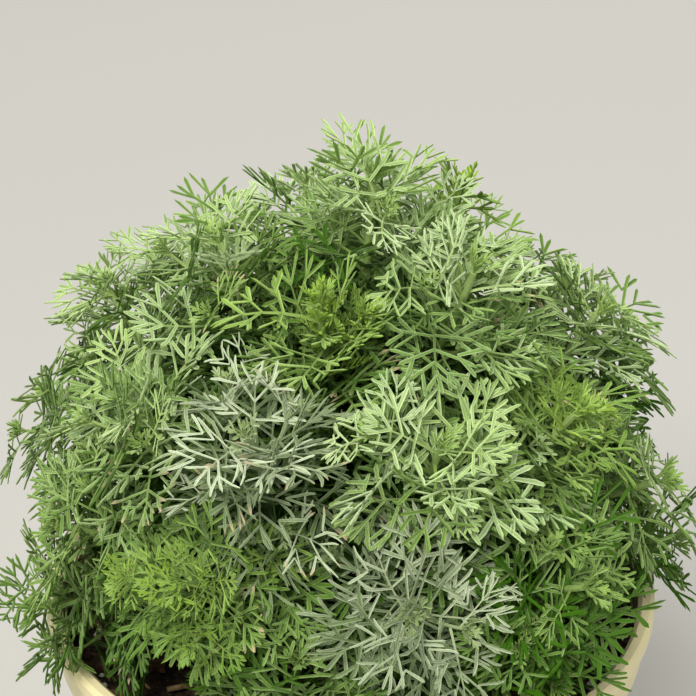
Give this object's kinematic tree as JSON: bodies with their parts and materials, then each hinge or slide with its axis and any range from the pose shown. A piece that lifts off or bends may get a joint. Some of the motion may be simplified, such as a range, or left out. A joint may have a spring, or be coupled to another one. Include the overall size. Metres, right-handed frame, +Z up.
{
  "type": "potted southernwood",
  "caption": "Dense dome of finely cut grey-green leaves on branching woody stems, in a round tapered pot with a rolled lip, filled with compost.",
  "frame": {"origin": "centre of the pot's flat underside", "axes": "+Z up along the pot's axis; the side seen in the picture faces -Y, with +X to its right"},
  "size_m": [0.2019, 0.1973, 0.2745],
  "materials": {
    "pot_plastic": "matt moulded polypropylene, cream ochre, lightly scuffed",
    "compost": "dark peat-free compost with bark crumbs",
    "bark": "thin grey-brown bark, slightly ridged",
    "mature_leaf": "matt sage green with fine down",
    "young_leaf": "satin yellow-green of new growth",
    "silver_leaf": "matt silver-grey down over green"
  },
  "bodies": {
    "root": {"compost": "compost", "leafy_shoot_01": "mature_leaf", "leafy_shoot_03": "mature_leaf", "leafy_shoot_04": "mature_leaf", "leafy_shoot_06": "mature_leaf", "leafy_shoot_07": "mature_leaf", "leafy_shoot_08": "mature_leaf", "leafy_shoot_09": "mature_leaf", "leafy_shoot_10": "mature_leaf", "leafy_shoot_11": "mature_leaf", "leafy_shoot_12": "mature_leaf", "leafy_shoot_14": "mature_leaf", "leafy_shoot_16": "mature_leaf", "leafy_shoot_17": "mature_leaf", "leafy_shoot_19": "mature_leaf", "leafy_shoot_20": "mature_leaf", "leafy_shoot_21": "mature_leaf", "leafy_shoot_24": "mature_leaf", "leafy_shoot_25": "mature_leaf", "leafy_shoot_26": "mature_leaf", "leafy_shoot_28": "mature_leaf", "leafy_shoot_29": "mature_leaf", "leafy_shoot_30": "mature_leaf", "leafy_shoot_31": "mature_leaf", "leafy_shoot_32": "mature_leaf", "pot": "pot_plastic", "silver_shoot_13": "silver_leaf", "silver_shoot_23": "silver_leaf", "woody_rootstock": "bark", "young_shoot_02": "young_leaf", "young_shoot_05": "young_leaf", "young_shoot_15": "young_leaf", "young_shoot_18": "young_leaf", "young_shoot_22": "young_leaf", "young_shoot_27": "young_leaf"}
  },
  "joints": []
}
